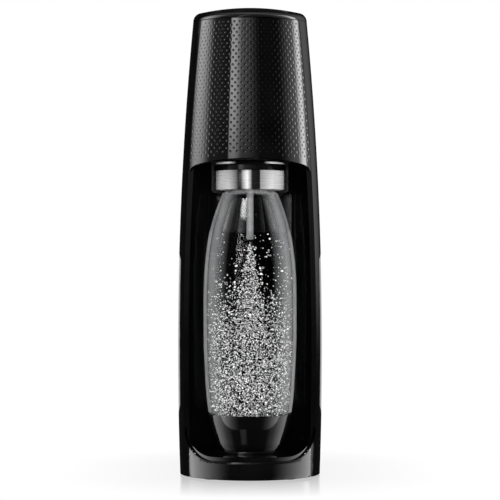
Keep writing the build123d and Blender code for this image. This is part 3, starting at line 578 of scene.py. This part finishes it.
def build_head_cover():
    """The outer face: a lattice of quads, four rows of which make way for each dimple."""
    shell = Shell()
    top_z = COVER_TOP - EDGE_R
    edge_share = EDGE_R / (half_width(LIP_FRONT) * seam_angle(LIP_FRONT))
    border = SIDE_BORDER / (half_width(HEAD_Z) * seam_angle(HEAD_Z))
    shares = cover_lines(border)
    shares[0] += edge_share
    shares[-1] -= edge_share
    columns = []
    for share in shares:
        lip = lip_at(share) + EDGE_R
        levels = []
        z = top_z
        while z > lip + 0.5 * STEP:
            levels.append(z)
            z -= STEP
        levels.append(lip)
        columns.append([shell.vertex(*on_cover(share, level)) for level in levels])
    taken = set()
    for i in range(COLUMNS):
        left, middle, right = 2 * i + 1, 2 * i + 2, 2 * i + 3
        share = shares[middle]
        k = 2 * (i % 2)
        if i in (0, COLUMNS - 1):
            k += 4
        while True:
            bottom = top_z - (k + 4) * STEP
            room = min(len(columns[c]) - 2 for c in (left, middle, right))
            if k + 4 > room or bottom + DIMPLE_R < lip_at(share) + LIP_BORDER - DIMPLE_R:
                break
            ring = [columns[left][k + n] for n in range(4, 0, -1)]
            ring += [columns[left][k], columns[middle][k], columns[right][k]]
            ring += [columns[right][k + n] for n in range(1, 5)]
            ring += [columns[middle][k + 4]]
            dimple(shell, ring, share, top_z - (k + 2) * STEP)
            taken.update((column, k + n) for column in (left, middle) for n in range(4))
            k += 4
    for c in range(len(shares) - 1):
        first, second = columns[c], columns[c + 1]
        shared = min(len(first), len(second)) - 1
        for k in range(shared):
            if (c, k) in taken:
                continue
            shell.faces.append((first[k], first[k + 1], second[k + 1], second[k]))
        for k in range(shared, len(first) - 1):
            shell.faces.append((first[k], first[k + 1], second[-1]))
        for k in range(shared, len(second) - 1):
            shell.faces.append((second[k], first[-1], second[k + 1]))
    return shell, columns


def finish_cover(shell, columns):
    """Round the outer edge over, carry it back to the inner face and close that."""
    top = [line[0] for line in columns]
    bottom = [line[-1] for line in columns]
    loop = top[:0:-1] + columns[0][:-1] + bottom + columns[-1][-2:0:-1]
    loop = list(dict.fromkeys(loop + [top[-1]]))
    outward = {}
    for corner in loop:
        normal = shell.normals[corner]
        side = Vector((-normal.y, normal.x, 0)).normalized()
        away = Vector()
        if corner in columns[0]:
            away -= side
        if corner in columns[-1]:
            away += side
        if corner in top:
            away += Vector((0, 0, 1))
        if corner in bottom:
            away -= Vector((0, 0, 1))
        outward[corner] = away.normalized()
    last = loop
    for angle in (30, 60, 90):
        turn = math.radians(angle)
        ring = []
        for corner in loop:
            point, normal, away = shell.points[corner], shell.normals[corner], outward[corner]
            moved = point + away * EDGE_R * math.sin(turn) - normal * EDGE_R * (1 - math.cos(turn))
            ring.append(shell.vertex(moved, (normal * math.cos(turn) + away * math.sin(turn)).normalized()))
        close_band(shell, last, ring)
        last = ring
    back = [shell.vertex(shell.points[r] - shell.normals[c] * (THICKNESS - EDGE_R), outward[c])
            for r, c in zip(last, loop)]
    close_band(shell, last, back)
    inner = {}
    for place, corner in enumerate(loop):
        inner[corner] = shell.vertex(shell.points[back[place]], -shell.normals[corner])
    for line in columns:
        for corner in line:
            if corner not in inner:
                normal = shell.normals[corner]
                inner[corner] = shell.vertex(shell.points[corner] - normal * THICKNESS, -normal)
    for first, second in zip(columns, columns[1:]):
        shared = min(len(first), len(second)) - 1
        for k in range(shared):
            quad = (first[k], second[k], second[k + 1], first[k + 1])
            shell.faces.append(tuple(inner[c] for c in quad))
        for k in range(shared, len(first) - 1):
            shell.faces.append(tuple(inner[c] for c in (first[k], second[-1], first[k + 1])))
        for k in range(shared, len(second) - 1):
            shell.faces.append(tuple(inner[c] for c in (second[k], second[k + 1], first[-1])))


def close_band(shell, first, second):
    """Quads between two closed loops of the same length."""
    for i in range(len(first)):
        j = (i + 1) % len(first)
        shell.faces.append((first[i], first[j], second[j], second[i]))


def shell_object(name, shell, material):
    """The shell as a smooth object that keeps its own normals."""
    mesh = bpy.data.meshes.new(name)
    mesh.from_pydata([tuple(p) for p in shell.points], [], shell.faces)
    mesh.polygons.foreach_set("use_smooth", [True] * len(mesh.polygons))
    mesh.materials.append(material)
    mesh.update()
    mesh.normals_split_custom_set_from_vertices([tuple(n) for n in shell.normals])
    made = bpy.data.objects.new(name, mesh)
    bpy.context.scene.collection.objects.link(made)
    return made


cover_shell, cover_columns = build_head_cover()
finish_cover(cover_shell, cover_columns)
dimpled_cover = shell_object("dimpled_head_cover", cover_shell, gloss_black("cover_black"))
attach(dimpled_cover, "machine")
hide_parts("head_front_cover")


# ---- bubbles in the water ----
water_points = np.array([v.co for v in bpy.data.objects["water"].data.vertices])
water_low, water_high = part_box("water")
water_radii = np.hypot(water_points[:, 0], water_points[:, 1] - AXIS_Y)
nozzle_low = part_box("nozzle_tube")[0]


def water_profile():
    """Levels of the water and its radius at each, read from its CAD solid."""
    levels = np.linspace(water_low.z, water_high.z, 60)
    found = []
    for level in levels:
        near = water_radii[np.abs(water_points[:, 2] - level) < 6 * MM]
        found.append(near.max() if len(near) else np.nan)
    found = np.array(found)
    good = ~np.isnan(found)
    return levels[good], found[good]


profile_levels, profile_radii = water_profile()


def icosphere(level):
    """Points and faces of a unit ball."""
    made = bpy.data.meshes.new("seed")
    ball = bmesh.new()
    bmesh.ops.create_icosphere(ball, subdivisions=level, radius=1.0)
    ball.to_mesh(made)
    ball.free()
    points = np.array([v.co for v in made.vertices])
    faces = np.array([p.vertices[:] for p in made.polygons])
    bpy.data.meshes.remove(made)
    return points, faces


def bubble_material(name):
    """Bright and dark specks painted into the colour at random: painted glints on small balls of gas."""
    def colour(tree):
        return tree.colours(tree.noise(700.0, 2.0), (0.43, (0.01, 0.01, 0.01)), (0.58, (0.93, 0.93, 0.93)))

    def roughness(tree):
        return tree.mottle(500.0, 2.0, 0.08, 0.3)

    return principled(name, colour, roughness, ior=1.7)


def bubble_piece(name, centres, sizes, level, material, rng):
    """All bubbles of one kind as one mesh of small squashed balls."""
    points, faces = icosphere(level)
    count = len(centres)
    squash = np.stack([rng.uniform(0.8, 1.25, count), rng.uniform(0.8, 1.25, count),
                       rng.uniform(0.65, 1.1, count)], 1)
    all_points = (centres[:, None, :] + points[None] * (sizes[:, None] * squash)[:, None, :]).reshape(-1, 3)
    all_faces = (faces[None] + (np.arange(count) * len(points))[:, None, None]).reshape(-1, 3)
    mesh = bpy.data.meshes.new(name)
    mesh.from_pydata(all_points.tolist(), [], all_faces.tolist())
    mesh.polygons.foreach_set("use_smooth", [True] * len(mesh.polygons))
    mesh.materials.append(material)
    mesh.update()
    made = bpy.data.objects.new(name, mesh)
    bpy.context.scene.collection.objects.link(made)
    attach(made, "carrier")


def scattered(rng, count, thin):
    """Bubble centres through the water: a thin share of them near the top, dense lower down."""
    kept = []
    height = water_high.z - water_low.z
    while len(kept) < count:
        x, y = rng.uniform(-1, 1, 2)
        t = rng.uniform(0.0, 1.0)  # depth below the surface
        z = water_high.z - 2 * MM - t * (height - 6 * MM)
        reach = np.interp(z, profile_levels, profile_radii) - 1.5 * MM
        if math.hypot(x, y) > 1:
            continue
        dense = min(1.0, max(0.0, (t - 0.13) / 0.52))
        dense = thin + (1 - thin) * dense * dense * (3 - 2 * dense)
        if rng.uniform() > dense:
            continue
        kept.append((x * reach, AXIS_Y + y * reach, z))
    return np.array(kept)


def plume(rng, count):
    """Bubbles blown down from the nozzle: a jet that widens into a cone."""
    fall = rng.uniform(0.0, 1.0, count) ** 0.75
    drop = (3.0 + 85.0 * fall) * MM
    spread = (0.6 + 16.0 * fall**0.8) * MM
    angle = rng.uniform(0, 2 * math.pi, count)
    radius = spread * np.sqrt(rng.uniform(0, 1, count))
    return np.stack([radius * np.cos(angle), AXIS_Y + radius * np.sin(angle), nozzle_low.z - drop], 1)


rng = np.random.default_rng(20)
bubble_painted_glints = bubble_material("bubble_painted_glints")
fine = scattered(rng, 8000, 0.05)
jet = plume(rng, 1500)
bubble_piece("fine_bubbles", fine, rng.uniform(0.35, 0.8, len(fine)) * MM, 1, bubble_painted_glints, rng)
bubble_piece("nozzle_jet", jet, rng.uniform(0.3, 0.75, len(jet)) * MM, 1, bubble_painted_glints, rng)
large = scattered(rng, 700, 0.18)
bubble_piece("large_bubbles", large, rng.uniform(0.7, 1.25, len(large)) * MM, 2, bubble_painted_glints, rng)


# ---- camera ----
CAMERA_LENS = 140.0
CAMERA_DISTANCE = 1.7665  # from the bottle axis
CAMERA_Z = 0.2035

camera_data = bpy.data.cameras.new("camera")
camera_data.lens = CAMERA_LENS
camera_data.clip_end = 50.0
camera = bpy.data.objects.new("camera", camera_data)
camera.location = (0.0, AXIS_Y - CAMERA_DISTANCE, CAMERA_Z)
camera.rotation_euler = (math.radians(90), 0, 0)
bpy.context.scene.collection.objects.link(camera)
bpy.context.scene.camera = camera


# ---- floor and backdrop strip ----
MIRROR_REACH = 0.107  # the floor's gloss fades out this far from the object
MIRROR_AMOUNT = 0.45
PLAN_CORNER = 0.055  # corner radius of the object's plan, which the gloss follows


def stage_plane(name, corners, material):
    """One flat face of the stage."""
    mesh = bpy.data.meshes.new(name)
    mesh.from_pydata(corners, [], [(0, 1, 2, 3)])
    mesh.materials.append(material)
    made = bpy.data.objects.new(name, mesh)
    bpy.context.scene.collection.objects.link(made)
    return made


def floor_material():
    """A white floor with a gloss near the object; light other than the camera's passes it."""
    made = bpy.data.materials.new("white_floor")
    tree = Tree(made)
    where = tree.position()
    past = []
    for axis, half in (("X", (cad_high.x - cad_low.x) / 2), ("Y", (cad_high.y - cad_low.y) / 2)):
        out = tree.math("SUBTRACT", tree.math("ABSOLUTE", where[axis]), half - PLAN_CORNER)
        past.append(tree.math("POWER", tree.math("MAXIMUM", out, 0.0), 2.0))
    gap = tree.math("SUBTRACT", tree.math("SQRT", tree.total(*past)), PLAN_CORNER)
    gloss = tree.product(tree.line(gap, 0.0, MIRROR_REACH, MIRROR_AMOUNT, 0.0),
                         tree.mottle(30.0, 4.0, 0.97, 1.03))
    white = tree.node("ShaderNodeEmission")
    mirror = tree.node("ShaderNodeBsdfGlossy")
    mirror.inputs["Roughness"].default_value = 0.03
    lit = tree.blend(gloss, white.outputs[0], mirror.outputs[0])
    path = tree.node("ShaderNodeLightPath")
    passed = tree.node("ShaderNodeBsdfTransparent")
    tree.output(tree.blend(path.outputs["Is Camera Ray"], passed.outputs[0], lit))
    return made


def strip_material():
    """White from the front, and see-through from behind and to diffuse light."""
    made = bpy.data.materials.new("white_strip")
    tree = Tree(made)
    white = tree.node("ShaderNodeEmission")
    passed = tree.node("ShaderNodeBsdfTransparent")
    side = tree.node("ShaderNodeNewGeometry")
    path = tree.node("ShaderNodeLightPath")
    hidden = tree.math("MAXIMUM", side.outputs["Backfacing"], path.outputs["Is Diffuse Ray"])
    tree.output(tree.blend(hidden, white.outputs[0], passed.outputs[0]))
    return made


FLOOR = 4.0
STRIP_X = 0.4
STRIP_Y = 0.62
STRIP_Z = 0.2
stage_plane("floor", [(-FLOOR, -FLOOR, 0), (FLOOR, -FLOOR, 0), (FLOOR, FLOOR, 0), (-FLOOR, FLOOR, 0)],
            floor_material())
stage_plane("backdrop_strip", [(-STRIP_X, STRIP_Y, 0), (STRIP_X, STRIP_Y, 0),
                               (STRIP_X, STRIP_Y, STRIP_Z), (-STRIP_X, STRIP_Y, STRIP_Z)], strip_material())


# ---- studio: softboxes as bands of light all round, and a fill ----
def studio():
    """White to the camera; to everything else, bands of light by compass turn and rise.

    Turn is 0 toward the camera and grows toward +x; rise is above the horizon. In degrees.
    """
    world = bpy.data.worlds.new("studio")
    bpy.context.scene.world = world
    tree = Tree(world)
    way = tree.node("ShaderNodeSeparateXYZ")
    tree.feed(way.inputs[0], tree.node("ShaderNodeTexCoord").outputs["Generated"])
    forward = tree.math("MULTIPLY", way.outputs["Y"], -1.0)
    turn = tree.math("DEGREES", tree.math("ARCTAN2", way.outputs["X"], forward))
    rise = tree.math("DEGREES", tree.math("ARCSINE", way.outputs["Z"]))

    step = tree.smooth
    left = tree.product(step(turn, -128.0, -106.0), step(turn, -100.0, -72.0, 1.0, 0.05),
                        step(turn, -72.0, -40.0, 1.0, 0.35), step(turn, -40.0, -34.0, 1.0, 0.0),
                        step(rise, 2.0, 15.0, 0.55, 1.0), step(rise, 16.0, 75.0, 1.0, 0.1), 6.0)
    key = tree.product(step(turn, -39.0, -35.5), step(turn, -30.0, -13.0, 1.0, 0.18),
                       step(turn, -14.0, 20.0, 1.0, 0.0),
                       step(rise, 6.0, 13.0, 0.22, 1.0), step(rise, 16.0, 28.0, 1.0, 0.12), 8.0)
    raised = tree.product(step(turn, -38.0, -30.0), step(turn, -18.0, -10.0, 1.0, 0.0),
                          step(rise, 32.0, 36.0), step(rise, 46.0, 52.0, 1.0, 0.0), 9.0)
    right = tree.product(step(turn, 54.0, 94.0, 0.0, 0.2), step(turn, 91.0, 105.0, 1.0, 6.0),
                         step(turn, 109.0, 117.0, 1.0, 0.08), step(turn, 117.0, 165.0, 1.0, 0.0),
                         step(rise, 20.0, 75.0, 1.0, 0.15), 8.0)
    top = tree.product(step(rise, 35.0, 60.0), 0.16)
    back = tree.product(step(tree.math("ABSOLUTE", turn), 140.0, 165.0), step(rise, 40.0, 62.0), 0.5)

    low_left = tree.product(step(turn, -124.0, -110.0), step(turn, -112.0, -30.0, 1.0, 0.0), 4.6)
    low_right = tree.product(step(turn, 34.0, 112.0), step(turn, 114.0, 128.0, 1.0, 0.0), 4.2)
    low_fade = step(rise, -60.0, -14.0, 0.15, 1.0)

    above = step(rise, -4.0, 2.0)
    below = tree.math("SUBTRACT", 1.0, above)
    high = tree.product(above, tree.total(left, key, raised, right, top, back))
    low = tree.product(below, low_fade, tree.total(low_left, low_right))
    strength = tree.total(high, low, 0.012)

    lights = tree.node("ShaderNodeBackground")
    tree.feed(lights.inputs["Strength"], strength)
    lights.inputs["Color"].default_value = (1, 1, 1, 1)
    white = tree.node("ShaderNodeBackground")
    white.inputs["Color"].default_value = (1, 1, 1, 1)
    path = tree.node("ShaderNodeLightPath")
    tree.output(tree.blend(path.outputs["Is Camera Ray"], lights.outputs[0], white.outputs[0]),
                "ShaderNodeOutputWorld")


def fill_light(name, place, target, size, power):
    """A large soft panel that lights matt surfaces and doesn't show in gloss."""
    data = bpy.data.lights.new(name, "AREA")
    data.shape = "RECTANGLE"
    data.size, data.size_y = size
    data.energy = power
    made = bpy.data.objects.new(name, data)
    made.location = place
    made.rotation_euler = (Vector(target) - Vector(place)).to_track_quat("-Z", "Y").to_euler()
    made.visible_glossy = False
    bpy.context.scene.collection.objects.link(made)


studio()
fill_light("front_fill", (0.12, -1.5, 0.2), (0, 0, 0.2), (0.9, 0.9), 42.0)
fill_light("rear_fill", (0.6, 1.5, 0.9), (0, 0, 0.2), (0.9, 0.9), 30.0)

bpy.context.scene.view_settings.view_transform = "Standard"
